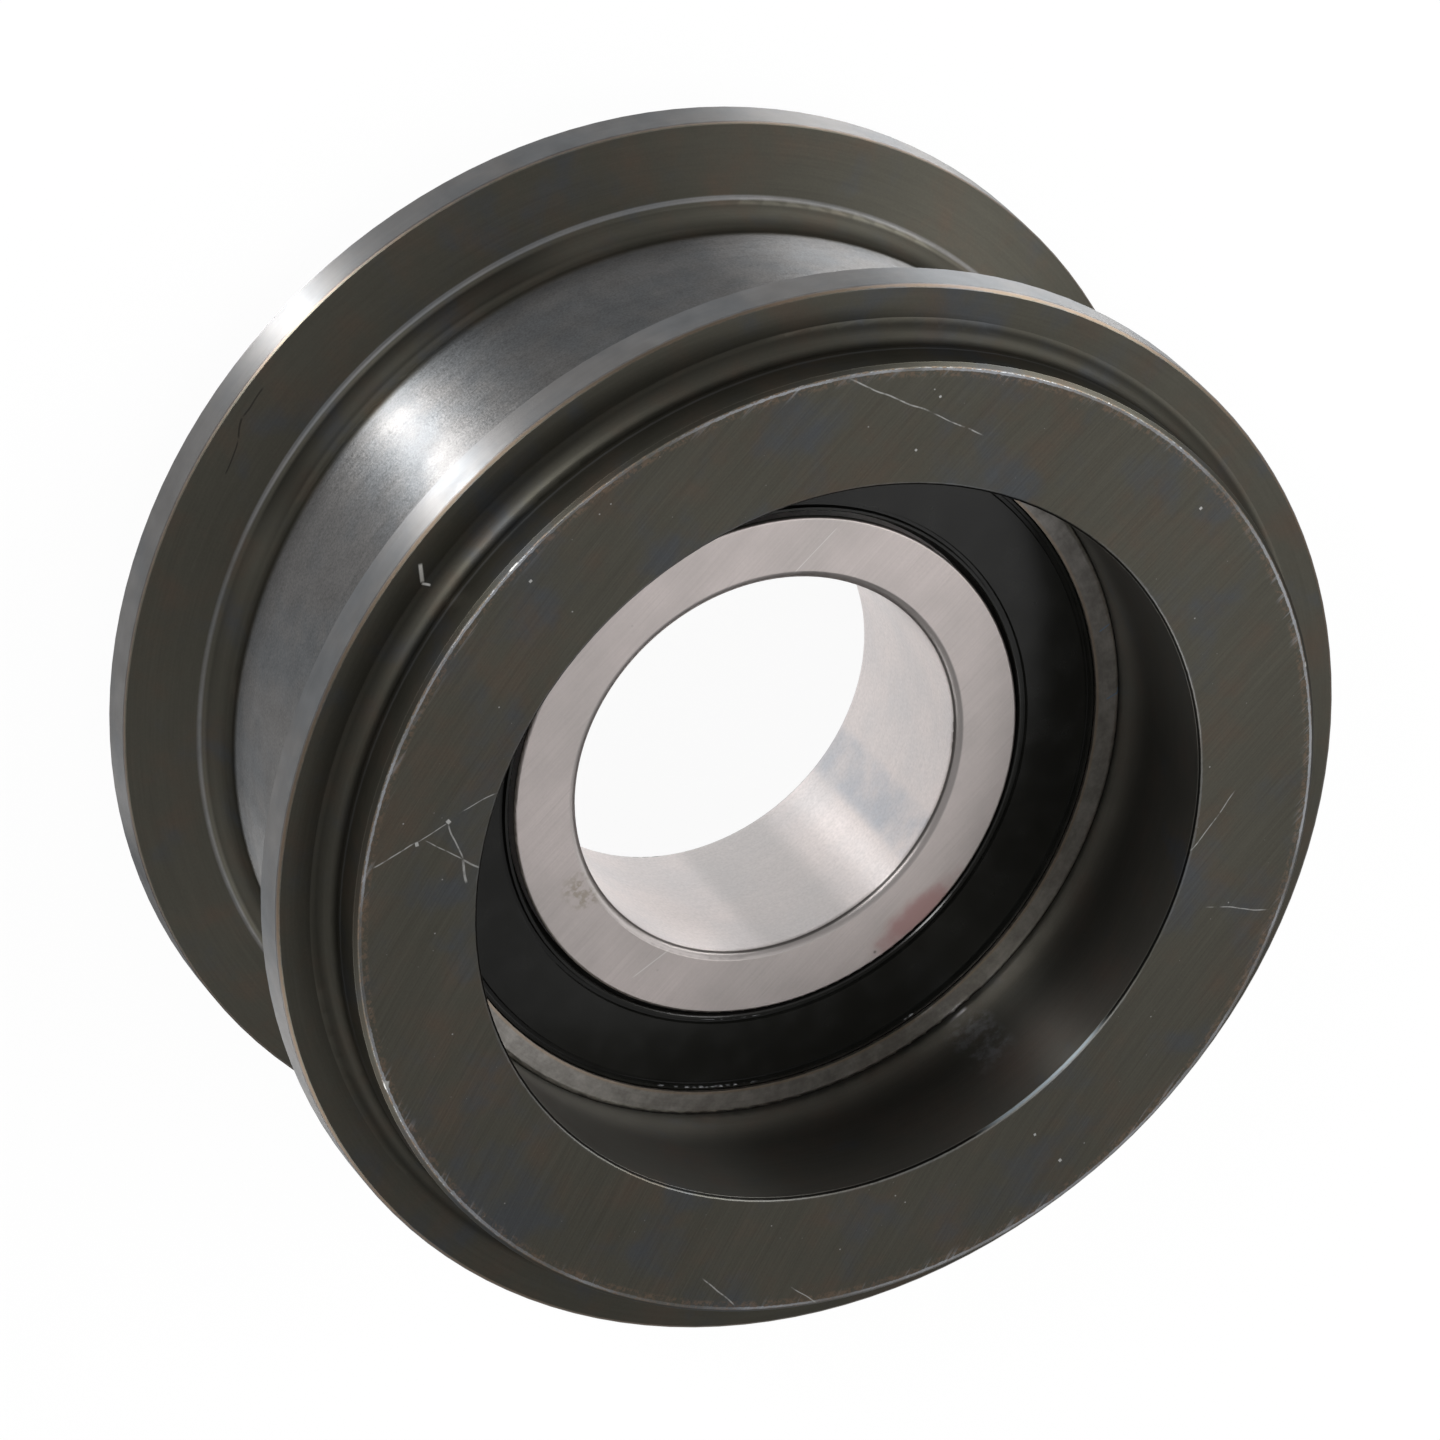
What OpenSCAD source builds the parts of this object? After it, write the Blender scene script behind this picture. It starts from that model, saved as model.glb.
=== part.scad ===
// Chain sheave: a turned two-flange roller for a lift chain, carried on a sealed
// single-row ball bearing that is pressed into it against a shoulder.
// Millimetres. The axis is Z, and the sheave stands on its rear boss face at z = 0.

/* [Sheave body] */
// Width over the two boss faces
sheave_w = 65; // [60:1:80]
// Diameter of the two flanges
flange_d = 125; // [120:1:140]
// Thickness of a flange at its rim
flange_t = 4.7; // [3:0.1:7]
// Diameter of the raised boss on each side
boss_d = 113.2; // [100:0.2:118]
// Diameter of the groove's bottom, where the chain runs
groove_d = 105; // [98:1:110]
// Width of the groove at its bottom, between the flanks
groove_w = 32; // [26:0.5:37]
// Width of the groove at its mouth, between the rims
mouth_w = 40.6; // [38:0.2:44]
// Radius between the groove's bottom and each flank
groove_fillet = 4; // [2:0.25:6]
// Radius between a flange's outer face and the boss
boss_fillet = 2.2; // [1:0.1:3]
// How far that radius bites into the boss wall
boss_undercut = 0.1; // [0.05:0.05:0.3]
// Bevel round each boss face
boss_bevel = 0.5; // [0.2:0.1:1.5]
// Bevel on the outer edge of each rim
rim_bevel = 0.4; // [0.2:0.1:1]
// Bevel on the groove edge of each rim
groove_bevel = 0.25; // [0.1:0.05:0.6]
// Bevel at the mouth of each recess
mouth_bevel = 0.35; // [0.1:0.05:1]
// How far the shoulder behind the bearing stands in from the seat
shoulder_h = 3.5; // [2:0.25:4.5]
// Radius in the corner between the seat and its shoulder
seat_fillet = 0.4; // [0.2:0.05:0.5]

/* [Bearing rings] */
// Bore of the inner ring
bore_d = 45; // [42:0.5:48]
// Outside diameter of the outer ring, and of the seat it is pressed into
bearing_d = 85; // [83:0.5:88]
// Width of both rings
bearing_w = 25; // [23:0.5:30]
// Corner radius at the ends of the bore
bore_corner = 1; // [0.5:0.1:1.5]
// Corner radius at the outside of the outer ring
outer_corner = 0.6; // [0.55:0.05:1]
// Corner radius at the inner ring's outer edge
land_corner = 0.3; // [0.1:0.05:0.6]
// Height of the inner ring's shoulders over its raceway
inner_shoulder_h = 3.8; // [3:0.1:4.2]
// Height of the outer ring's shoulders over its raceway
outer_shoulder_h = 2.7; // [2:0.1:3.2]
// Width of the outer ring's end face
outer_face_w = 2.9; // [2.6:0.1:3.4]

/* [Balls and cage] */
// Number of balls
ball_count = 9; // [7:1:10]
// Diameter of a ball
ball_d = 12.7; // [11.5:0.1:13.2]
// Raceway groove radius over ball diameter
conformity = 0.52; // [0.515:0.005:0.54]
// Running clearance between a ball and each raceway
ball_play = 0.05; // [0.02:0.01:0.08]
// Thickness of the cage strip
cage_t = 1; // [0.7:0.1:1.3]
// Width of the cage strip, across the pitch circle
cage_strip_w = 3.8; // [3.4:0.1:4.2]
// Clearance between a ball and its pocket
pocket_play = 0.2; // [0.1:0.05:0.3]
// Diameter of a rivet's shank
rivet_d = 1.8; // [1.2:0.1:2]
// Diameter of a rivet's head
rivet_head_d = 3.2; // [2.6:0.1:3.4]
// Height of a rivet's head
rivet_head_h = 0.7; // [0.4:0.1:1]
// Clearance between a rivet and its hole
rivet_play = 0.03; // [0.01:0.01:0.05]

/* [Seals] */
// Thickness of a seal
seal_t = 2; // [1.6:0.1:2.4]
// How far a seal's face lies below the rings' faces
seal_drop = 0.5; // [0.3:0.1:0.9]
// How deep a seal's snap bead reaches into the outer ring
bead_h = 0.65; // [0.4:0.05:0.9]
// Clearance between a seal and the outer ring
seal_play = 0.05; // [0.02:0.01:0.1]
// Clearance between the sealing lip and the inner ring
lip_play = 0.05; // [0.02:0.01:0.1]
// Gap between the inner ring and the seal's outer dust lip
lip_gap = 0.55; // [0.4:0.05:0.8]
// Width of a raised lip, and of the bead at the seal's rim
ridge_w = 0.55; // [0.4:0.05:0.8]
// Width of the channel beside a ridge
channel_w = 0.35; // [0.2:0.05:0.5]
// Depth of the channel beside a ridge
channel_h = 0.4; // [0.2:0.05:0.6]
// How far a ridge stands over the seal's face
ridge_h = 0.12; // [0.05:0.01:0.25]

/* [Hidden] */
$fn = 144;

// How far a cutter runs past the face that it opens
over = 1;

// Sheave body
mid_z = sheave_w / 2;
flange_r = flange_d / 2;
flange_half = mouth_w / 2 + flange_t;
boss_r = boss_d / 2;
groove_r = groove_d / 2;
flank_angle = atan((mouth_w - groove_w) / 2 / (flange_r - groove_r));
fillet_run = groove_fillet * tan((90 - flank_angle) / 2);
bevel_run = groove_bevel * tan(flank_angle);

// Bearing: the balls' pitch circle lies midway between the bore and the outside
bore_r = bore_d / 2;
bearing_r = bearing_d / 2;
bearing_half = bearing_w / 2;
pitch_r = (bore_r + bearing_r) / 2;
ball_r = ball_d / 2;
race_r = ball_d * conformity;
inner_race_r = pitch_r - ball_r - ball_play;
outer_race_r = pitch_r + ball_r + ball_play;
inner_land_r = inner_race_r + inner_shoulder_h;
outer_land_r = outer_race_r - outer_shoulder_h;
seal_mouth_r = bearing_r - outer_face_w;
shoulder_r = bearing_r - shoulder_h;

// Cage
pocket_r = ball_r + pocket_play;
cage_in_r = pitch_r - cage_strip_w / 2;
cage_out_r = pitch_r + cage_strip_w / 2;
rivet_r = rivet_d / 2;
step = 360 / ball_count;

// Heights on the bearing's half section, counted from its middle plane
seal_face_z = bearing_half - seal_drop;
seal_back_z = seal_face_z - seal_t;
seal_seat_z = seal_back_z - seal_play;
bead_z = [seal_back_z + 0.3 * seal_t, seal_back_z + 0.7 * seal_t];

// A rectangle on the half section, from r0 to r1 and from z0 to z1
module strip(r0, r1, z0, z1) {
    translate([r0, z0])
        square([r1 - r0, z1 - z0]);
}

// What a corner radius takes off: the corner is at p, and side points into the metal
module round_off(p, r, side) {
    translate(p)
        face_sides(side)
            difference() {
                translate([-over, -over])
                    square(r + over);
                translate([r, r])
                    circle(r);
            }
}

// What a 45 degree bevel takes off, with the corner at p
module bevel_off(p, c, side) {
    translate(p)
        face_sides(side)
            polygon([[-over, -over], [c + over, -over], [-over, c + over]]);
}

// Turns a corner piece so that its legs point along side
module face_sides(side) {
    mirror([side[0] < 0 ? 1 : 0, 0])
        mirror([0, side[1] < 0 ? 1 : 0])
            children();
}

// Both halves of a section that is the same on each side of the middle plane
module both_sides() {
    children();
    mirror([0, 1])
        children();
}

// The web of metal that fills the corner between the groove's bottom and a flank
module groove_corner() {
    corner = [groove_r, groove_w / 2];
    centre = [groove_r + groove_fillet, groove_w / 2 - fillet_run];
    foot = [groove_r, groove_w / 2 - fillet_run];
    top = corner + fillet_run * [cos(flank_angle), sin(flank_angle)];
    difference() {
        polygon([corner, foot, centre, top]);
        translate(centre)
            circle(groove_fillet);
    }
}

// One half of the outside: groove, flank, rim, flange face, root radius and boss
module sheave_outside() {
    rim_z = mouth_w / 2;
    root_x = boss_r + boss_fillet - boss_undercut;
    difference() {
        union() {
            polygon([
                [0, 0],
                [groove_r, 0],
                [groove_r, groove_w / 2],
                [flange_r - groove_bevel, rim_z - bevel_run],
                [flange_r, rim_z + groove_bevel],
                [flange_r, flange_half - rim_bevel],
                [flange_r - rim_bevel, flange_half],
                [boss_r, flange_half],
                [boss_r, mid_z - boss_bevel],
                [boss_r - boss_bevel, mid_z],
                [0, mid_z]
            ]);
            strip(boss_r - over, root_x, flange_half - over, flange_half + boss_fillet);
        }
        translate([root_x, flange_half + boss_fillet])
            circle(boss_fillet);
    }
    groove_corner();
}

// The seat, the front recess, the shoulder behind the bearing and the rear recess
module sheave_inside() {
    difference() {
        strip(0, bearing_r, -bearing_half, mid_z + over);
        round_off([bearing_r, -bearing_half], seat_fillet, [-1, 1]);
    }
    strip(0, shoulder_r, -mid_z - over, bearing_half);
    bevel_off([bearing_r, mid_z], mouth_bevel, [1, -1]);
    bevel_off([shoulder_r, -mid_z], mouth_bevel, [1, 1]);
    bevel_off([shoulder_r, -bearing_half], seat_fillet / 2, [1, -1]);
}

module sheave_body() {
    color([0.2, 0.19, 0.18])
        translate([0, 0, mid_z])
            rotate_extrude()
                difference() {
                    both_sides()
                        sheave_outside();
                    sheave_inside();
                }
}

// The snap groove and the step that a seal sits in, at one end of the outer ring
module seal_seat() {
    groove_out_r = seal_mouth_r + bead_h + seal_play;
    strip(0, seal_mouth_r, seal_seat_z, bearing_half + over);
    polygon([
        [seal_mouth_r - over, bead_z[0] - seal_play - bead_h],
        [seal_mouth_r, bead_z[0] - seal_play - bead_h],
        [groove_out_r, bead_z[0] - seal_play],
        [groove_out_r, bead_z[1] + seal_play],
        [seal_mouth_r, bead_z[1] + seal_play + bead_h],
        [seal_mouth_r - over, bead_z[1] + seal_play + bead_h]
    ]);
}

module bearing_outer_ring() {
    color([0.62, 0.6, 0.58])
        translate([0, 0, mid_z])
            rotate_extrude()
                difference() {
                    strip(outer_land_r, bearing_r, -bearing_half, bearing_half);
                    translate([outer_race_r - race_r, 0])
                        circle(race_r);
                    both_sides() {
                        seal_seat();
                        round_off([bearing_r, bearing_half], outer_corner, [-1, -1]);
                    }
                }
}

module bearing_inner_ring() {
    color([0.76, 0.73, 0.71])
        translate([0, 0, mid_z])
            rotate_extrude()
                difference() {
                    strip(bore_r, inner_land_r, -bearing_half, bearing_half);
                    translate([inner_race_r + race_r, 0])
                        circle(race_r);
                    both_sides() {
                        round_off([bore_r, bearing_half], bore_corner, [1, -1]);
                        round_off([inner_land_r, bearing_half], land_corner, [-1, -1]);
                    }
                }
}

// A moulded rubber seal: sealing lip, dust lip, plain face, rim bead and snap bead
module seal() {
    lip_r = inner_land_r + lip_play;
    dust_r = inner_land_r + lip_gap;
    rim_r = seal_mouth_r - seal_play;
    bead_r = seal_mouth_r + bead_h;
    ridge_z = seal_face_z + ridge_h;
    channel_z = seal_face_z - channel_h;
    slope = ridge_w / 4;
    polygon([
        [lip_r, seal_back_z],
        [lip_r, seal_back_z + seal_t / 5],
        [dust_r, seal_back_z + seal_t / 2],
        [dust_r, ridge_z - slope],
        [dust_r + slope, ridge_z],
        [dust_r + ridge_w - slope, ridge_z],
        [dust_r + ridge_w, channel_z],
        [dust_r + ridge_w + channel_w, channel_z],
        [dust_r + ridge_w + channel_w + slope, seal_face_z],
        [rim_r - ridge_w - channel_w - slope, seal_face_z],
        [rim_r - ridge_w - channel_w, channel_z],
        [rim_r - ridge_w, channel_z],
        [rim_r - ridge_w + slope, ridge_z],
        [rim_r - slope, ridge_z],
        [rim_r, ridge_z - slope],
        [rim_r, bead_z[1] + bead_r - rim_r],
        [bead_r, bead_z[1]],
        [bead_r, bead_z[0]],
        [rim_r, bead_z[0] - bead_r + rim_r],
        [rim_r, seal_back_z]
    ]);
}

module seal_front() {
    color([0.06, 0.06, 0.06])
        translate([0, 0, mid_z])
            rotate_extrude()
                seal();
}

module seal_rear() {
    color([0.06, 0.06, 0.06])
        translate([0, 0, mid_z])
            mirror([0, 0, 1])
                rotate_extrude()
                    seal();
}

// Repeats its children at the balls, or with offset = 0.5 midway between them
module round_the_pitch_circle(offset = 0) {
    for (i = [0 : ball_count - 1])
        rotate((i + offset) * step)
            translate([pitch_r, 0, 0])
                children();
}

// One pressed half of the cage: flats between the balls, and a cup over each ball
module cage_half() {
    difference() {
        intersection() {
            rotate_extrude()
                strip(cage_in_r, cage_out_r, 0, pocket_r + cage_t + over);
            union() {
                cylinder(r = cage_out_r + over, h = cage_t);
                round_the_pitch_circle()
                    sphere(pocket_r + cage_t);
            }
        }
        round_the_pitch_circle()
            sphere(pocket_r);
        round_the_pitch_circle(0.5)
            translate([0, 0, -over])
                cylinder(r = rivet_r + rivet_play, h = cage_t + 2 * over);
    }
}

module cage_front() {
    color([0.66, 0.63, 0.58])
        translate([0, 0, mid_z])
            cage_half();
}

module cage_rear() {
    color([0.66, 0.63, 0.58])
        translate([0, 0, mid_z])
            mirror([0, 0, 1])
                cage_half();
}

module ball(i) {
    color([0.82, 0.82, 0.84])
        translate([0, 0, mid_z])
            rotate((i - 1) * step)
                translate([pitch_r, 0, 0])
                    sphere(ball_r);
}

// A rivet's half section: half the shank, and a domed head on the cage's face
module rivet_half() {
    head_r = rivet_head_d / 2;
    dome_r = (head_r * head_r + rivet_head_h * rivet_head_h) / (2 * rivet_head_h);
    strip(0, rivet_r, 0, cage_t);
    intersection() {
        strip(0, head_r, cage_t, cage_t + rivet_head_h);
        translate([0, cage_t + rivet_head_h - dome_r])
            circle(dome_r);
    }
}

module cage_rivet(i) {
    color([0.7, 0.69, 0.67])
        translate([0, 0, mid_z])
            rotate((i - 0.5) * step)
                translate([pitch_r, 0, 0])
                    rotate_extrude()
                        both_sides()
                            rivet_half();
}

sheave_body();
bearing_outer_ring();
bearing_inner_ring();
seal_front();
seal_rear();
cage_front();
cage_rear();
for (i = [1 : ball_count]) {
    ball(i);
    cage_rivet(i);
}
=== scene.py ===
import math

import bpy
from mathutils import Matrix, Vector


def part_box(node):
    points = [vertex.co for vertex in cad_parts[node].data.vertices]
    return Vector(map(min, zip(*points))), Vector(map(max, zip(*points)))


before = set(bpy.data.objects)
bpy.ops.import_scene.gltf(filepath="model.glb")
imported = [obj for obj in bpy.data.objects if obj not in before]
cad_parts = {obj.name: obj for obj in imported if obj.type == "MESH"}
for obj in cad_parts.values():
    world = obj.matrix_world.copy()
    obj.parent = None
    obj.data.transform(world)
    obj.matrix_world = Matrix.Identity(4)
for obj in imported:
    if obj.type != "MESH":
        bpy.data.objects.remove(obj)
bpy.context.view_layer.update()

# The camera looks down on the front boss face from far off, with the picture turned
# about the line of sight. It aims a little beside the axis, at the bearing's face.
# Its distance and its aim are in metres.
LENS_MM = 270.3
CAMERA_DISTANCE = 1.1774
TILT_FROM_AXIS = math.radians(35.75)
PICTURE_TURN = math.radians(136.53)
AIM_BESIDE_AXIS = Vector((0.00521, -0.00518, 0))

bearing_face_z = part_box("bearing_inner_ring")[1].z
camera_turn = Matrix.Rotation(TILT_FROM_AXIS, 3, "X") @ Matrix.Rotation(PICTURE_TURN, 3, "Z")
camera = bpy.data.objects.new("camera", bpy.data.cameras.new("camera"))
camera.data.sensor_width = 36
camera.data.lens = LENS_MM
camera.data.clip_end = 50
back_off = Vector((0, 0, CAMERA_DISTANCE)) - AIM_BESIDE_AXIS
camera.location = Vector((0, 0, bearing_face_z)) + camera_turn @ back_off
camera.rotation_euler = camera_turn.to_euler()
bpy.context.scene.collection.objects.link(camera)
bpy.context.scene.camera = camera

# The sheave body is one turning of medium carbon steel: groove, flanges, bosses and the
# bearing's seat. It is chemically blackened and oiled, and its two boss faces were
# ground flat with straight strokes. Handling has worn its edges back to bright steel.


class Link:
    """One socket in a material's nodes. Python's operators on it add Math nodes."""

    def __init__(self, tree, socket=None):
        self.tree = tree
        self.socket = socket

    def node(self, kind, settings=None, inputs=None, output=0):
        """Adds a node, sets it up, feeds its sockets and gives one of its outputs."""
        node = self.tree.nodes.new("ShaderNode" + kind)
        for name, value in (settings or {}).items():
            setattr(node, name, value)
        for name, value in (inputs or {}).items():
            if isinstance(value, Link):
                self.tree.links.new(value.socket, node.inputs[name])
            else:
                node.inputs[name].default_value = value
        return Link(self.tree, node.outputs[output] if node.outputs else None)

    def other(self, output):
        """Another output of the node that this link comes from."""
        return Link(self.tree, self.socket.node.outputs[output])

    def maths(self, operation, *values):
        return self.node("Math", {"operation": operation}, dict(enumerate(values)))

    def __add__(self, other):
        return self.maths("ADD", self, other)

    def __sub__(self, other):
        return self.maths("SUBTRACT", self, other)

    def __rsub__(self, other):
        return self.maths("SUBTRACT", other, self)

    def __mul__(self, other):
        return self.maths("MULTIPLY", self, other)

    def __truediv__(self, other):
        return self.maths("DIVIDE", self, other)

    def __rtruediv__(self, other):
        return self.maths("DIVIDE", other, self)

    def __pow__(self, other):
        return self.maths("POWER", self, other)

    def __rpow__(self, other):
        return self.maths("POWER", other, self)

    def __or__(self, other):
        return self.maths("MAXIMUM", self, other)

    def __abs__(self):
        return self.maths("ABSOLUTE", self)

    __radd__ = __add__
    __rmul__ = __mul__
    __ror__ = __or__


def new_material(name):
    """An empty material, a link into its nodes, and the place on the part in mm."""
    material = bpy.data.materials.new(name)
    material.use_nodes = True
    material.node_tree.nodes.clear()
    nodes = Link(material.node_tree)
    metres = nodes.node("TexCoord", output="Object")
    place = nodes.node("VectorMath", {"operation": "SCALE"}, {0: metres, "Scale": 1000.0})
    return material, nodes, place


def polar(place):
    """The height z and the radius from the axis, in mm."""
    z = place.node("SeparateXYZ", inputs={0: place}, output="Z")
    level = place.node("VectorMath", {"operation": "MULTIPLY"}, {0: place, 1: (1, 1, 0)})
    r = place.node("VectorMath", {"operation": "LENGTH"}, {0: level}, output="Value")
    return z, r


def above(value, low, high):
    """0 under low and 1 over high, with a soft step between them."""
    return value.node("MapRange", {"interpolation_type": "SMOOTHSTEP"}, {
        "Value": value, "From Min": low, "From Max": high})


def between(value, low, high, soft):
    """1 where the value lies from low to high, fading out over soft."""
    rise = above(value, low - soft, low + soft)
    return rise - above(value, high - soft, high + soft)


def noise(place, scale, detail=3.0, roughness=0.5, w=0.0):
    """Even noise from 0 to 1, with scale features to the millimetre."""
    return place.node("TexNoise", {"noise_dimensions": "4D"}, {
        "Vector": place, "W": w, "Scale": scale, "Detail": detail, "Roughness": roughness})


# Marks are read from the noise at a slant, because its own grid would show as even bands
SLANT_RUN = 0.83
SLANT_RISE = 0.57


def turning_marks(place, z, r, pitch, reach, seed=0.0):
    """Marks of a turning tool: pitch mm from line to line, and about reach mm long."""
    lines = (z * SLANT_RUN + r * SLANT_RISE) / pitch + seed
    drift = (z * SLANT_RISE - r * SLANT_RUN) / pitch
    level = place.node("VectorMath", {"operation": "MULTIPLY"}, {
        0: place, 1: (1 / reach, 1 / reach, 0)})
    vector = place.node("VectorMath", {"operation": "ADD"}, {
        0: level, 1: place.node("CombineXYZ", inputs={"Z": lines})})
    return place.node("TexNoise", {"noise_dimensions": "4D"}, {
        "Vector": vector, "W": drift, "Scale": 1.0, "Detail": 2.0, "Roughness": 0.6})


def along(place, direction):
    """How far the place lies from the origin in a direction, in mm."""
    return place.node("VectorMath", {"operation": "DOT_PRODUCT"}, {
        0: place, 1: (*direction, 0)}, output="Value")


def strokes(place, direction, pitch, reach, bend=0.0, seed=0.0):
    """Marks of a grinding wheel, pitch mm apart and about reach mm long, in wide arcs."""
    run = Vector((math.cos(direction), math.sin(direction)))
    travel = along(place, run)
    offset = along(place, (-run.y, run.x)) - travel * travel * bend
    vector = place.node("CombineXYZ", inputs={
        "X": travel / reach + seed,
        "Y": offset * (SLANT_RUN / pitch),
        "Z": offset * (SLANT_RISE / pitch)})
    return place.node("TexNoise", {"noise_dimensions": "3D"}, {
        "Vector": vector, "Scale": 1.0, "Detail": 3.0, "Roughness": 0.6})


def specks(place, cell, size, seed):
    """Small round spots, at most one to a cell of so many mm, and not in every cell."""
    moved = place.node("VectorMath", {"operation": "ADD"}, {0: place, 1: (seed, seed, seed)})
    inputs = {"Vector": moved, "Scale": 1 / cell, "Randomness": 1.0}
    distance = place.node("TexVoronoi", inputs=inputs)
    chance = distance.other("Color")
    return (1 - above(distance, 0.3 * size / cell, size / cell)) * above(chance, 0.62, 0.66)


def sector(place, r, toward, half_angle):
    """1 within half an angle of a direction from the axis, in degrees, and soft beyond."""
    turn = math.radians(toward)
    lean = along(place, (math.cos(turn), math.sin(turn))) / r
    outer = math.cos(math.radians(half_angle * 1.3))
    inner = math.cos(math.radians(half_angle * 0.7))
    return above(lean, outer, inner)


def line_mark(place, start, end, width):
    """1 along a mark from one point of a level face to another, in mm."""
    length = (Vector(end) - Vector(start)).length
    middle = (Vector(end) + Vector(start)) / 2
    run = (Vector(end) - Vector(start)) / length
    side = Vector((-run.y, run.x))
    on_run = 1 - above(abs(along(place, run) - run.dot(middle)), length * 0.35, length * 0.5)
    on_side = 1 - above(abs(along(place, side) - side.dot(middle)), width * 0.3, width * 0.7)
    return on_run * on_side


def marks(place, lines):
    """1 on any of the marks in a list of start, end and width."""
    found = None
    for start, end, width in lines:
        mark = line_mark(place, start, end, width)
        found = mark if found is None else found | mark
    return found


def blend(factor, first, second):
    """From the first colour to the second as the factor goes from 0 to 1."""
    return factor.node("Mix", {"data_type": "RGBA"}, {0: factor, 6: first, 7: second}, output=2)


def bump(height, strength, distance):
    """A normal from a height, with the distance in metres that a height of 1 stands for."""
    return height.node("Bump", inputs={
        "Height": height, "Strength": strength, "Distance": distance})


def metal(nodes, colour, roughness, normal, anisotropic=0.0, graze=1.0):
    """The shader of a steel surface. Where it was turned, its gloss spreads along Z, and
    a porous skin mirrors less of what grazes it."""
    return nodes.node("BsdfPrincipled", {"distribution": "MULTI_GGX"}, {
        "Base Color": colour, "Roughness": roughness, "Metallic": 1.0, "Normal": normal,
        "Anisotropic": anisotropic, "Anisotropic Rotation": 0.25,
        "Specular Tint": (graze, graze, graze, 1)})


def finish(nodes, material, shader, *names):
    """Ends a material with its shader, and gives it to the nodes of those names."""
    nodes.node("OutputMaterial", inputs={"Surface": shader})
    for name in names:
        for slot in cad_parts[name].material_slots:
            slot.material = material


# Sizes in mm: radii from the axis, and heights to each side of the middle plane
body_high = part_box("sheave_body")[1]
SHEAVE_W = body_high.z * 1000
FLANGE_R = body_high.x * 1000
FLANGE_HALF = 25.0
RIM_W = 4.7
BOSS_R = 56.6
BOSS_BEVEL = 0.5
BOSS_HIGHLIGHT_HEIGHT = 28.425
GROOVE_R = 52.5
GROOVE_FLAT_HALF = 12.4
FLANK_HIGHLIGHT_R = 54.9
RECESS_R = 42.5
RECESS_CHAMFER = 0.3
REAR_MOUTH_R = 39.0
FACE_SKIN = 0.15
STROKE_ANGLE = math.radians(13)
STROKE_BEND = 0.0017

# How deep the marks are, in metres, for the bumps
STROKE_DEPTH = 0.000012
TURNING_DEPTH = 0.00001

# How rough each finish is, and how much of what grazes it a porous one mirrors
GROUND_ROUGHNESS = 0.44
TURNED_ROUGHNESS = 0.37
RUBBED_ROUGHNESS = 0.5
POROUS_GRAZE = 0.5

# Directions round the axis, in degrees from +X, of its marks and of its painted shade, highlights and
# glints
MOUTH_HIGHLIGHT_AT = 88
SMEAR_AND_GLINT_AT = 85
ROOT_SHADE_AT = 270
FLANK_HIGHLIGHT_AT = 256
GROOVE_SHADE_AT = 245
RIM_SHADOW_AT = -5

OXIDE = (0.064, 0.061, 0.05, 1)
OXIDE_BROWN = (0.074, 0.06, 0.047, 1)
OXIDE_BLUE = (0.057, 0.06, 0.063, 1)
MACHINED = (0.175, 0.172, 0.17, 1)
MACHINED_BLUE = (0.15, 0.155, 0.16, 1)
EDGE_BROWN = (0.17, 0.115, 0.08, 1)
WORN_STEEL = (0.3, 0.31, 0.33, 1)
SCRATCHED = (0.34, 0.34, 0.33, 1)
BARE_STEEL = (0.8, 0.79, 0.77, 1)
BLACKENED = (0.02, 0.019, 0.017, 1)
GREASE_GREY = (0.16, 0.17, 0.18, 1)
HIGHLIGHT_BLUE = (0.5, 0.62, 0.72, 1)
GLINT_PALE = (0.8, 0.82, 0.86, 1)

material, nodes, place = new_material("black oxide steel")
z, r = polar(place)
half_w = SHEAVE_W / 2
height = abs(z - half_w)
on_front = above(z, half_w, half_w + 1)

on_boss_face = above(height, half_w - FACE_SKIN, half_w - FACE_SKIN / 2)
on_rim = above(r, FLANGE_R - 0.2, FLANGE_R - 0.05)
in_groove = between(r, GROOVE_R - 2.5, GROOVE_R + 1.5, 0.5)
in_groove = in_groove * (1 - above(height, GROOVE_FLAT_HALF - 0.7, GROOVE_FLAT_HALF + 0.7))
in_recess = between(r, REAR_MOUTH_R - 1, RECESS_R + RECESS_CHAMFER, 0.2)
bearing_z = bearing_face_z * 1000
machined = on_rim | in_groove

# A painted highlight line at the foot of each flank, and one above the root of each boss, where an
# edge catches the light. The roots of the groove and of the bosses are masked here too
flange_middle = FLANGE_HALF - RIM_W / 2
inside = 1 - above(height, flange_middle - 0.5, flange_middle + 0.5)
flank_highlight = between(r, FLANK_HIGHLIGHT_R - 0.2, FLANK_HIGHLIGHT_R + 0.2, 0.15) * inside
groove_root = between(r, GROOVE_R + 0.1, GROOVE_R + 1.8, 0.2) * inside
groove_root = groove_root * above(height, GROOVE_FLAT_HALF + 0.2, GROOVE_FLAT_HALF + 1)
boss_root = between(r, BOSS_R, BOSS_R + 1.7, 0.4)
boss_root = boss_root * between(height, FLANGE_HALF - 0.5, FLANGE_HALF + 2.2, 0.4)
boss_highlight = between(height, BOSS_HIGHLIGHT_HEIGHT - 0.175, BOSS_HIGHLIGHT_HEIGHT + 0.175, 0.12)
boss_highlight = boss_highlight * between(r, BOSS_R - 0.3, BOSS_R + 0.3, 0.1)

mottle = noise(place, 0.16, detail=5, roughness=0.6)
patches = noise(place, 0.11, detail=4, roughness=0.6, w=4.0)
clouds = noise(place, 0.03, detail=2, w=11.0)
grain = noise(place, 4.2, detail=2, w=9.0)
oxide = blend(above(mottle, 0.45, 0.75), OXIDE, OXIDE_BROWN)
oxide = blend(above(patches, 0.5, 0.72) | in_recess * 0.3, oxide, OXIDE_BLUE)

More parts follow.
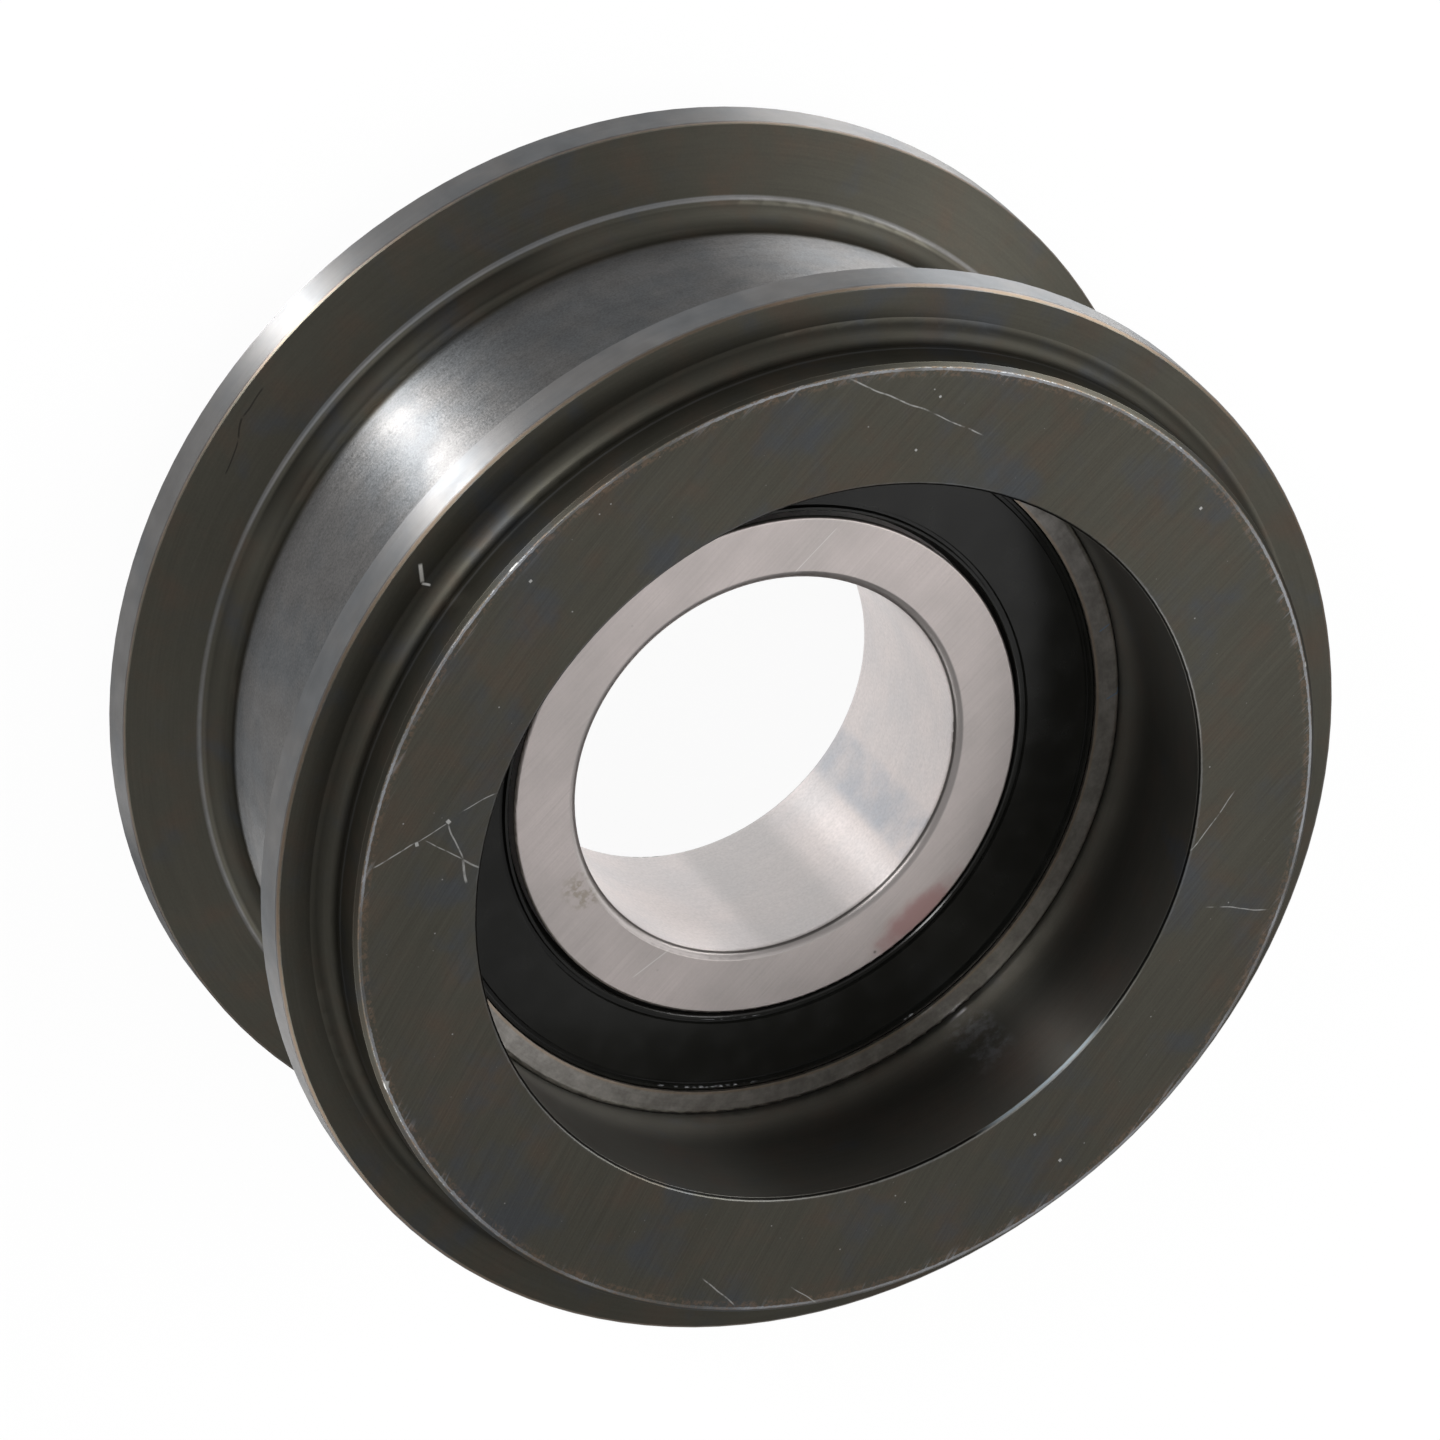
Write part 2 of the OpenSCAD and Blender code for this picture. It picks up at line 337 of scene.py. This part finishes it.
# Its edges are worn where they knock against other things, most on the boss
edge_break = noise(place, 1.7, detail=4, roughness=0.7, w=2.0)
edge_patches = noise(place, 0.07, detail=3, w=6.0)
worn_here = above(edge_patches, 0.35, 0.6)


def worn_edge(edge_r, edge_height, reach):
    """1 on an edge of the body, broken up along it."""
    gap = ((r - edge_r) ** 2.0 + (height - edge_height) ** 2.0) ** 0.5
    ragged = gap + (edge_break - 0.5) * 0.45
    return 1 - above(ragged, reach * 0.6, reach)


boss_edge = worn_edge(BOSS_R - 0.65, half_w, 0.18) * (0.15 + worn_here * 0.6)
bevel = above(height, half_w - BOSS_BEVEL, half_w - BOSS_BEVEL + 0.05)
bevel = bevel * between(r, BOSS_R - 0.47, BOSS_R, 0.04)
boss_wall = between(height, FLANGE_HALF + 1, half_w - BOSS_BEVEL - 0.1, 1.0)
boss_wall = boss_wall * between(r, BOSS_R - 0.2, BOSS_R + 0.2, 0.05)
flange_edge = worn_edge(FLANGE_R - 0.2, FLANGE_HALF - 0.2, 0.24)
groove_edge = worn_edge(FLANGE_R - 0.1, FLANGE_HALF - RIM_W + 0.1, 0.16)
mouth_edge = worn_edge(RECESS_R + RECESS_CHAMFER, half_w, 0.16) * on_front * worn_here
mouth_chamfer = between(r, RECESS_R, RECESS_R + RECESS_CHAMFER, 0.03)
mouth_chamfer = mouth_chamfer * above(height, half_w - 0.35, half_w - RECESS_CHAMFER)

# The boss faces: strokes in wide arcs that break out over the rim, scratches and specks
fine_strokes = strokes(place, STROKE_ANGLE, 0.17, 9, STROKE_BEND)
broad_strokes = strokes(place, STROKE_ANGLE, 0.8, 18, STROKE_BEND, seed=3.0)
ticks = strokes(place, STROKE_ANGLE, 0.6, 7, STROKE_BEND, seed=21.0)
near_edge = between(r, BOSS_R - 1.5, BOSS_R, 0.7) * worn_here
browned = worn_edge(BOSS_R - 0.7, half_w, 1.0) * above(edge_break, 0.45, 0.6)
scratch_break = above(noise(place, 0.9, detail=2, w=3.0), 0.3, 0.55)

# From point to point in mm: start, end and width
SCRATCHES = [
    ((-40.9, -26.3), (-38.3, -33.3), 0.13),
    ((-38.4, -33.1), (-34.0, -44.4), 0.16),
    ((-29.4, 46.4), (-24.0, 39.8), 0.12),
    ((-35.4, 30.8), (-26.7, 32.9), 0.12),
    ((22.4, -36.3), (27.1, -38.0), 0.12),
    ((28.3, -38.1), (32.4, -38.8), 0.14),
    ((32.0, -38.8), (38.0, -40.7), 0.16),
    ((28.4, -38.0), (30.1, -33.2), 0.16),
    ((31.5, -38.4), (30.1, -33.2), 0.12),
    ((30.2, -33.4), (29.2, -31.0), 0.2),
    ((30.1, -33.4), (31.4, -30.8), 0.26),
    ((42.9, 35.4), (43.3, 29.2), 0.14),
    ((36.6, 42.6), (37.1, 38.4), 0.12),
]
NICKS = [
    ((31.0, 28.6), (31.4, 27.6), 0.4),
    ((6.2, 51.7), (6.6, 51.7), 0.36),
    ((6.3, 46.7), (6.6, 46.6), 0.3),
    ((28.1, -38.1), (28.6, -38.1), 0.5),
    ((32.2, -38.7), (32.6, -38.9), 0.5),
    ((4.2, -56.0), (5.6, -56.0), 0.5),
    ((52.3, -19.2), (53.2, -18.4), 0.6),
    ((-50.6, 25.0), (-50.2, 25.6), 0.7),
    ((4.4, -53.2), (4.8, -53.2), 0.3),
    ((-53.1, 0.0), (-52.7, 0.0), 0.3),
    ((-40.3, -34.2), (-40.0, -34.3), 0.26),
    ((-34.6, -31.4), (-34.3, -31.4), 0.26),
]
wobble = place.node("TexNoise", inputs={"Vector": place, "Scale": 0.12}, output="Color")
wobble = place.node("VectorMath", {"operation": "SUBTRACT"}, {0: wobble, 1: (0.5, 0.5, 0.5)})
wavy = place.node("VectorMath", {"operation": "MULTIPLY_ADD"}, {
    0: wobble, 1: (1.6, 1.6, 0), 2: place})
scratched = marks(wavy, SCRATCHES) * scratch_break * 0.7 | marks(place, NICKS)
specked = specks(place, 2.2, 0.13, 0.0) * 0.7 | specks(place, 1.3, 0.09, 5.0) * 0.3
bare = scratched * on_front | specked
stroke_tone = fine_strokes - 0.5 + (broad_strokes - 0.5) * 0.5

face_colour = blend(browned * 0.4, oxide, EDGE_BROWN)
face_colour = blend(near_edge * above(ticks, 0.56, 0.66) * 0.3, face_colour, WORN_STEEL)
face_colour = blend(near_edge * above(1 - ticks, 0.56, 0.66) * 0.5, face_colour, OXIDE_BROWN)
face_colour = blend(boss_edge | mouth_edge * 0.12, face_colour, WORN_STEEL)
face_colour = blend(bare, face_colour, SCRATCHED)
face_tone = 1.09 + stroke_tone * 0.5 + (clouds - 0.5) * 0.3 + (grain - 0.5) * 0.25
face_colour = nodes.node("HueSaturation", inputs={"Color": face_colour, "Value": face_tone})
face_roughness = GROUND_ROUGHNESS + (mottle - 0.5) * 0.12
face_bump = bump(stroke_tone + grain * 0.25, 0.4, STROKE_DEPTH)
ground = metal(nodes, face_colour, face_roughness, face_bump, graze=POROUS_GRAZE)

# All the rest is turned. The rims and the groove's bottom are rubbed nearly bare
fine_turning = turning_marks(place, z, r, 0.22, 14)
short_turning = turning_marks(place, z, r, 0.6, 4, seed=7.0)
turned_tone = (fine_turning - 0.5) * 0.5 + (short_turning - 0.5) * (0.3 + in_groove * 0.7)
steel = blend(above(patches, 0.4, 0.65), MACHINED, MACHINED_BLUE)

# Painted shade darkens the roots, bevels, chamfers and boss walls, the groove towards its sides and
# on one side, and a stretch of the rear rim.
# Painted light brightens the rims and the foot of the recess, where the bearing's band would be
# mirrored
root_painted_shade = 0.5 + sector(place, r, ROOT_SHADE_AT, 22) * 0.3
# Painted shade on the mouth's chamfer, lifted at one place for a painted highlight
mouth_painted_shade = 0.93 - sector(place, r, MOUTH_HIGHLIGHT_AT, 11) * 0.65
painted_light_and_shade = 1 - groove_root * root_painted_shade - boss_root * 0.58 - mouth_chamfer * mouth_painted_shade
painted_light_and_shade = painted_light_and_shade - bevel * 0.5 - boss_wall * 0.1 - in_groove * above(height, 8, 13) * 0.3
painted_light_and_shade = painted_light_and_shade - in_groove * sector(place, r, GROOVE_SHADE_AT, 14) * 0.25 + on_rim * 0.15
painted_light_and_shade = painted_light_and_shade - on_rim * (1 - on_front) * sector(place, r, RIM_SHADOW_AT, 22) * 0.75
painted_light_and_shade = painted_light_and_shade + in_recess * (1 - above(z, bearing_z + 2, bearing_z + 8)) * 0.9

# An angled nick in the front flange's face, and dark hairlines on the back flank
FLANGE_NICK = [((11.7, -59.4), (13.0, -57.3), 0.42), ((13.1, -57.4), (12.5, -56.5), 0.26)]
HAIRLINES = [
    ((11.0, -60.1), (15.2, -58.9), 0.16),
    ((15.0, -59.0), (17.1, -57.5), 0.2),
    ((17.0, -57.6), (20.9, -55.5), 0.14),
]
nicked = marks(place, FLANGE_NICK) * on_front * above(height, FLANGE_HALF - 0.2, FLANGE_HALF)
hairline = marks(wavy, HAIRLINES) * (1 - on_front) * inside

# The painted highlight line at the flank's foot varies along it and is strongest on one side
flank_highlight_strength = 0.35 + noise(place, 0.5, detail=3, w=5.0) * 0.6
flank_highlight_strength = flank_highlight_strength + sector(place, r, FLANK_HIGHLIGHT_AT, 34) * 1.1
turned_colour = blend(machined | flank_highlight * flank_highlight_strength, oxide, steel)
turned_colour = blend(boss_highlight * 0.6, turned_colour, steel)
turned_colour = blend(hairline * 0.7, turned_colour, BLACKENED)
turned_colour = blend((flange_edge | groove_edge) * 0.35, turned_colour, EDGE_BROWN)
turned_colour = blend(boss_edge | mouth_edge * 0.12, turned_colour, WORN_STEEL)
turned_colour = blend(nicked, turned_colour, BARE_STEEL)

# Grease is smeared in the recess. Beside it, a painted bluish highlight lies on the mouth's chamfer
smear = sector(place, r, SMEAR_AND_GLINT_AT, 3.5) * between(z, bearing_z + 2, bearing_z + 11, 2)
smear = smear * above(noise(place, 0.6, detail=5, roughness=0.65, w=14.0), 0.42, 0.66)
turned_colour = blend(smear * in_recess * 0.5, turned_colour, GREASE_GREY)
chamfer_highlight = mouth_chamfer * on_front * sector(place, r, MOUTH_HIGHLIGHT_AT, 11)
turned_colour = blend(chamfer_highlight * 0.2, turned_colour, HIGHLIGHT_BLUE)
# Painted glints of grease, in pale colour, at the foot of the recess wall
grease_glints = sector(place, r, SMEAR_AND_GLINT_AT, 1.6) * between(z, bearing_z + 0.2, bearing_z + 0.7, 0.2)
grease_glints = grease_glints * above(patches, 0.42, 0.55)
turned_colour = blend(grease_glints * in_recess * 0.4, turned_colour, GLINT_PALE)

speckle = (grain - 0.5) * (0.2 + in_groove * 0.9)
turned_value = painted_light_and_shade * (1 + turned_tone * 0.5 + (clouds - 0.5) * 0.3 + speckle)
turned_colour = nodes.node("HueSaturation", inputs={
    "Color": turned_colour, "Value": turned_value})
turned_bump = bump(turned_tone + grain * (0.1 + in_groove * 2.2), 0.4, TURNING_DEPTH)
dark_roughness = TURNED_ROUGHNESS + in_recess * 0.04 + (groove_root | boss_root) * 0.18
dark_roughness = dark_roughness + (mottle - 0.5) * 0.1
dark = metal(nodes, turned_colour, dark_roughness, turned_bump, graze=POROUS_GRAZE)
bright_roughness = RUBBED_ROUGHNESS + turned_tone * 0.2 + (grain - 0.5) * 0.2
bright_roughness = bright_roughness + (noise(place, 0.35, w=8.0) - 0.5) * 0.3
bright = metal(nodes, turned_colour, bright_roughness, turned_bump, anisotropic=1.0)

turned = nodes.node("MixShader", inputs={0: machined | in_recess * 0.15, 1: dark, 2: bright})
shader = nodes.node("MixShader", inputs={0: on_boss_face, 1: turned, 2: ground})
finish(nodes, material, shader, "sheave_body")

# The bearing's outer ring is bearing steel, hardened and ground. It is pressed into the
# body's seat against the shoulder, and only its end face and seal steps can be seen.
RING_DULL = (0.35, 0.33, 0.31, 1)
RING_OILED = (0.5, 0.475, 0.45, 1)
RING_TAN = (0.5, 0.4, 0.31, 1)
RING_BLUE = (0.3, 0.5, 0.75, 1)
RING_ROUGHNESS = 0.38
END_FACE_R = 39.6
BAND_GLINT_AT = 83
BAND_SCRATCHES = [
    ((-32.2, 25.0), (-34.1, 25.5), 0.16),
    ((-33.4, 25.6), (-34.2, 24.9), 0.12),
    ((-36.6, 17.6), (-38.2, 17.8), 0.14),
]

material, nodes, place = new_material("ground bearing steel, outer ring")
z, r = polar(place)
turning = turning_marks(place, z, r, 0.2, 5)
haze = noise(place, 0.5, detail=5, roughness=0.65)
grain = noise(place, 2.4, detail=2, w=3.0)
colour = blend(above(haze, 0.35, 0.65), RING_DULL, RING_OILED)
colour = blend(between(r, END_FACE_R, END_FACE_R + 0.3, 0.1) * 0.8, colour, RING_TAN)
colour = blend(marks(place, BAND_SCRATCHES) * 0.8, colour, RING_BLUE)
# Painted glints of grease, in pale colour, at the end face's inner edge
grease_glints = sector(place, r, BAND_GLINT_AT, 4) * above(haze, 0.46, 0.56)
grease_glints = grease_glints * between(r, END_FACE_R + 0.02, END_FACE_R + 0.25, 0.08)
colour = blend(grease_glints * 0.6, colour, GLINT_PALE)
line_tone = (turning - 0.5) * 0.6 + (grain - 0.5) * 0.6
colour = nodes.node("HueSaturation", inputs={"Color": colour, "Value": 1 + line_tone * 0.5})
normal = bump(line_tone + haze * 0.3, 0.4, TURNING_DEPTH)
shader = metal(nodes, colour, RING_ROUGHNESS + line_tone * 0.2, normal)
finish(nodes, material, shader, "bearing_outer_ring")

# The inner ring is the same steel. It turns on a fixed pin, its end faces are ground
# with straight strokes and stained a little by oil, and its bore is ground round.
RING_PALE = (0.56, 0.503, 0.488, 1)
RING_GREY = (0.48, 0.437, 0.423, 1)
BORE_PALE = (0.94, 0.87, 0.85, 1)
BORE_GREY = (0.85, 0.81, 0.805, 1)
BORE_SHADE_GREY = (0.6, 0.585, 0.58, 1)
BORE_BLUE = (0.58, 0.62, 0.68, 1)
ROUNDING_SHADE_GREY = (0.2, 0.19, 0.185, 1)
DARK_SPOT_AND_LINE = (0.06, 0.054, 0.048, 1)
OIL_OLIVE = (0.3, 0.26, 0.2, 1)
OIL_PINK = (0.4, 0.23, 0.225, 1)
BORE_ROUGHNESS = 0.31
RING_HALF_W = 12.5
BORE_R = 22.5
BORE_SHADE_AT = 66
BORE_BLUE_AT = 107
BELT_ANGLE = math.radians(5)
RING_SCRATCHES = [((21.4, 8.7), (26.8, 8.0), 0.14), ((-23.6, -16.9), (-16.0, -16.4), 0.1)]


def blot(place, centre, half_x, half_y):
    """1 in an oval stain with a ragged rim round a point of a level face."""
    inverse = (1 / half_x, 1 / half_y, 0)
    offset = place.node("VectorMath", {"operation": "SUBTRACT"}, {0: place, 1: (*centre, 0)})
    offset = place.node("VectorMath", {"operation": "MULTIPLY"}, {0: offset, 1: inverse})
    reach = place.node("VectorMath", {"operation": "LENGTH"}, {0: offset}, output="Value")
    return 1 - above(reach + (noise(place, 0.5, detail=4) - 0.5) * 0.8, 0.3, 1.0)


material, nodes, place = new_material("ground bearing steel, inner ring")
z, r = polar(place)
height = abs(z - half_w)
on_front = above(z, half_w, half_w + 1)
on_end = above(height, RING_HALF_W - 0.55, RING_HALF_W - 0.5)
corner_line = between(r, BORE_R + 0.07, BORE_R + 0.25, 0.04)
haze = noise(place, 0.1, detail=4)
grain = noise(place, 3.0, detail=2, w=3.0)

belt = strokes(place, BELT_ANGLE, 0.15, 8)
belt_broad = strokes(place, BELT_ANGLE, 0.7, 22, seed=5.0)
face_tone = (belt - 0.5) * 0.8 + (belt_broad - 0.5) * 0.5 + (grain - 0.5) * 0.4
face_colour = blend(above(haze + face_tone * 0.3, 0.35, 0.7), RING_PALE, RING_GREY)
face_colour = nodes.node("HueSaturation", inputs={
    "Color": face_colour, "Value": 1 + face_tone * 0.45})
stained = blot(place, (-0.6, 28.6), 8.5, 2.6) * 0.8
face_colour = blend(stained * on_front, face_colour, OIL_PINK)
stained = blot(place, (23.9, -5.0), 2.4, 3.4) * above(noise(place, 1.3, detail=4), 0.45, 0.6)
face_colour = blend(stained * on_front * 0.6, face_colour, OIL_OLIVE)
face_colour = blend(specks(place, 4.5, 0.3, 7.0) * 0.7, face_colour, DARK_SPOT_AND_LINE)
face_colour = blend(marks(place, RING_SCRATCHES) * on_front * 0.5, face_colour, BARE_STEEL)
face_colour = blend(corner_line * 0.95, face_colour, DARK_SPOT_AND_LINE)
# Painted shade darkens the face over the bore's rounded corner
rounding_shade = 1 - above(r, BORE_R + 0.8, BORE_R + 1.1)
face_colour = blend(rounding_shade * 0.65, face_colour, ROUNDING_SHADE_GREY)
face_bump = bump(face_tone, 0.5, TURNING_DEPTH)
face_shader = metal(nodes, face_colour, RING_ROUGHNESS + face_tone * 0.12, face_bump)

# A dark line is painted round the bore's rounded corner
turning = turning_marks(place, z, r, 0.4, 6)
bore_tone = (turning - 0.5) * 0.3 + (grain - 0.5) * 0.8
bore_colour = blend(above(haze, 0.35, 0.7), BORE_PALE, BORE_GREY)
# Painted shade greys the bore on one side
bore_shade = sector(place, r, BORE_SHADE_AT, 13)
bore_colour = blend(bore_shade * 0.6, bore_colour, BORE_SHADE_GREY)
blued = sector(place, r, BORE_BLUE_AT, 7) * above(noise(place, 0.3, detail=4, w=7.0), 0.1, 0.8)
bore_colour = blend(blued * 0.8, bore_colour, BORE_BLUE)
bore_colour = nodes.node("HueSaturation", inputs={
    "Color": bore_colour, "Value": 1 + bore_tone * 0.45})
bore_colour = blend(corner_line * 0.95, bore_colour, DARK_SPOT_AND_LINE)
bore_roughness = BORE_ROUGHNESS + bore_tone * 0.06
bore_bump = bump(bore_tone, 0.3, TURNING_DEPTH)
bore_shader = metal(nodes, bore_colour, bore_roughness, bore_bump, anisotropic=1.0)
shader = nodes.node("MixShader", inputs={0: on_end, 1: bore_shader, 2: face_shader})
finish(nodes, material, shader, "bearing_inner_ring")

# The cage is two halves pressed from mild steel strip, with a pocket for each ball. It
# holds the balls apart and rides on them, clear of both rings.
STRIP_DARK = (0.4, 0.38, 0.35, 1)
STRIP_PALE = (0.52, 0.5, 0.47, 1)

material, nodes, place = new_material("pressed steel strip")
z, r = polar(place)
rolled = turning_marks(place, z, r, 0.5, 12)
blotch = noise(place, 0.3, detail=4)
colour = blend(blotch, STRIP_DARK, STRIP_PALE)
shader = metal(nodes, colour, 0.3 + rolled * 0.2, bump(rolled, 0.3, TURNING_DEPTH))
finish(nodes, material, shader, "cage_front", "cage_rear")

# The nine balls are bearing steel, hardened and lapped to a mirror finish. They run in the
# raceways of the two rings, and running in grease has left a faint haze on them.
BALL_COUNT = 9
BALL_GREY = (0.66, 0.66, 0.67, 1)
BALL_PALE = (0.74, 0.74, 0.75, 1)
LAPPING_DEPTH = 0.000004

material, nodes, place = new_material("lapped ball steel")
haze = noise(place, 0.4, detail=4)
colour = blend(haze, BALL_GREY, BALL_PALE)
shader = metal(nodes, colour, 0.06 + haze * 0.06, bump(haze, 0.1, LAPPING_DEPTH))
finish(nodes, material, shader, *["ball_%d" % i for i in range(1, BALL_COUNT + 1)])

# Nine soft steel rivets hold the two cage halves together, one between each two balls.
# They are set cold, with a head at both ends.
RIVET_DARK = (0.48, 0.46, 0.44, 1)
RIVET_PALE = (0.6, 0.58, 0.55, 1)
HEADING_DEPTH = 0.00003

material, nodes, place = new_material("headed rivet steel")
hammered = noise(place, 1.2, detail=3)
colour = blend(hammered, RIVET_DARK, RIVET_PALE)
shader = metal(nodes, colour, 0.3 + hammered * 0.15, bump(hammered, 0.4, HEADING_DEPTH))
finish(nodes, material, shader, *["cage_rivet_%d" % i for i in range(1, BALL_COUNT + 1)])

# The seals are nitrile rubber moulded over a steel washer, with a lip at each edge. They
# are snapped into the outer ring, and shine a little with grease.
RUBBER = (0.0075, 0.0075, 0.0065, 1)
RUBBER_BLOOM = (0.0105, 0.0105, 0.0095, 1)
RUBBER_IOR = 1.38
SKIN_DEPTH = 0.000008
RIM_BEAD_R = 39.18
LIP_R = 30.88
BEAD_HALF_W = 0.06

material, nodes, place = new_material("moulded nitrile rubber")
z, r = polar(place)
skin = noise(place, 0.25, detail=4)
pores = noise(place, 3.0, detail=2, w=5.0)
colour = blend(above(skin, 0.4, 0.7), RUBBER, RUBBER_BLOOM)

# Grease has crept out at the rim and at the lip, in beads, and their glints are painted on in pale
# colour. Each stretch of them has its middle and its half angle, in degrees from +X
RIM_STRETCHES = [(41, 8), (79, 1)]
LIP_STRETCH = (45, 6)
bead_glints = above(noise(place, 1.1, detail=1, w=2.0), 0.48, 0.62)
at_rim = between(r, RIM_BEAD_R - BEAD_HALF_W, RIM_BEAD_R + BEAD_HALF_W, 0.05)
at_rim = at_rim * (sector(place, r, *RIM_STRETCHES[0]) | sector(place, r, *RIM_STRETCHES[1]))
at_lip = between(r, LIP_R - BEAD_HALF_W, LIP_R + BEAD_HALF_W, 0.05)
at_lip = at_lip * sector(place, r, *LIP_STRETCH)
colour = blend((at_rim | at_lip) * bead_glints * 0.4, colour, GLINT_PALE)
shader = nodes.node("BsdfPrincipled", inputs={
    "Base Color": colour, "Roughness": 0.12 + skin * 0.14, "IOR": RUBBER_IOR,
    "Normal": bump(pores * 0.4 + skin, 0.3, SKIN_DEPTH)})
finish(nodes, material, shader, "seal_front", "seal_rear")

# The sheave stands on a wide pale floor, which is white to the camera and in what the
# steel mirrors, and keeps a soft shadow under it.
FLOOR_HALF = 6.0
FLOOR_Z = -0.00005
FLOOR_PAINT = (0.9, 0.9, 0.9, 1)
WHITE = (1, 1, 1, 1)
WHITE_SHARE = 0.95
floor_mesh = bpy.data.meshes.new("floor")
corners = [(-FLOOR_HALF, -FLOOR_HALF, FLOOR_Z), (FLOOR_HALF, -FLOOR_HALF, FLOOR_Z),
           (FLOOR_HALF, FLOOR_HALF, FLOOR_Z), (-FLOOR_HALF, FLOOR_HALF, FLOOR_Z)]
floor_mesh.from_pydata(corners, [], [(0, 1, 2, 3)])
floor = bpy.data.objects.new("floor", floor_mesh)
bpy.context.scene.collection.objects.link(floor)
floor_material = bpy.data.materials.new("pale floor")
floor_material.use_nodes = True
floor_material.node_tree.nodes.clear()
nodes = Link(floor_material.node_tree)
seen = (nodes.node("LightPath", output="Is Camera Ray")
        + nodes.node("LightPath", output="Is Glossy Ray")
        + nodes.node("LightPath", output="Is Transmission Ray"))
paint = nodes.node("BsdfDiffuse", inputs={"Color": FLOOR_PAINT})
glow = nodes.node("Emission", inputs={"Color": WHITE, "Strength": 1.0})
share = seen.maths("MINIMUM", seen, 1.0) * WHITE_SHARE
shader = nodes.node("MixShader", inputs={0: share, 1: paint, 2: glow})
nodes.node("OutputMaterial", inputs={"Surface": shader})
floor_mesh.materials.append(floor_material)

# The studio is bright low down all round, dimmer higher up, and has white side walls.
# Five soft lamps stand in it. The two on the camera's side make the streaks on the steel.
HORIZON = 1.7
RAISED = 0.34
OVERHEAD = 0.62
SIDE_GAIN = 0.5
HORIZON_ENDS = (0.05, 0.35)
OVERHEAD_STARTS = (0.75, 0.95)
world = bpy.data.worlds.new("studio")
world.use_nodes = True
world.node_tree.nodes.clear()
nodes = Link(world.node_tree)
ray = nodes.node("TexCoord", output="Generated")
side = nodes.node("SeparateXYZ", inputs={0: ray}, output="X")
rise = nodes.node("SeparateXYZ", inputs={0: ray}, output="Z")
level = HORIZON + above(rise, *HORIZON_ENDS) * (RAISED - HORIZON)
level = level + above(rise, *OVERHEAD_STARTS) * (OVERHEAD - RAISED)
level = level + side * side * SIDE_GAIN
background = nodes.node("Background", inputs={"Color": WHITE, "Strength": level})
nodes.node("OutputWorld", inputs={"Surface": background})
bpy.context.scene.world = world


def softbox(name, azimuth, elevation, distance, width, length, radiance):
    """A soft lamp aimed at the middle of the part. Azimuth 0 is the camera's side."""
    lamp = bpy.data.lights.new(name, "AREA")
    lamp.shape = "RECTANGLE"
    lamp.size = width
    lamp.size_y = length
    lamp.energy = radiance * math.pi * width * length
    holder = bpy.data.objects.new(name, lamp)
    turn, lift = math.radians(azimuth), math.radians(elevation)
    out = Vector((math.sin(turn) * math.cos(lift), -math.cos(turn) * math.cos(lift),
                  math.sin(lift)))
    middle = Vector((0, 0, body_high.z / 2))
    holder.location = middle + out * distance
    holder.rotation_euler = out.to_track_quat("Z", "Y").to_euler()
    holder.visible_camera = False
    bpy.context.scene.collection.objects.link(holder)


softbox("strip_low", azimuth=5, elevation=5.5, distance=1.6, width=0.18, length=0.36, radiance=135)
softbox("strip_front", azimuth=5, elevation=39, distance=1.6, width=0.3, length=0.5, radiance=15)
softbox("box_right", azimuth=-93, elevation=14, distance=1.6, width=1.0, length=0.7, radiance=10)
softbox("box_left", azimuth=104, elevation=14, distance=1.6, width=0.8, length=0.7, radiance=3.6)
softbox("box_behind", azimuth=-138, elevation=48, distance=0.75, width=0.5, length=0.5, radiance=1.85)

bpy.context.scene.view_settings.view_transform = "Standard"
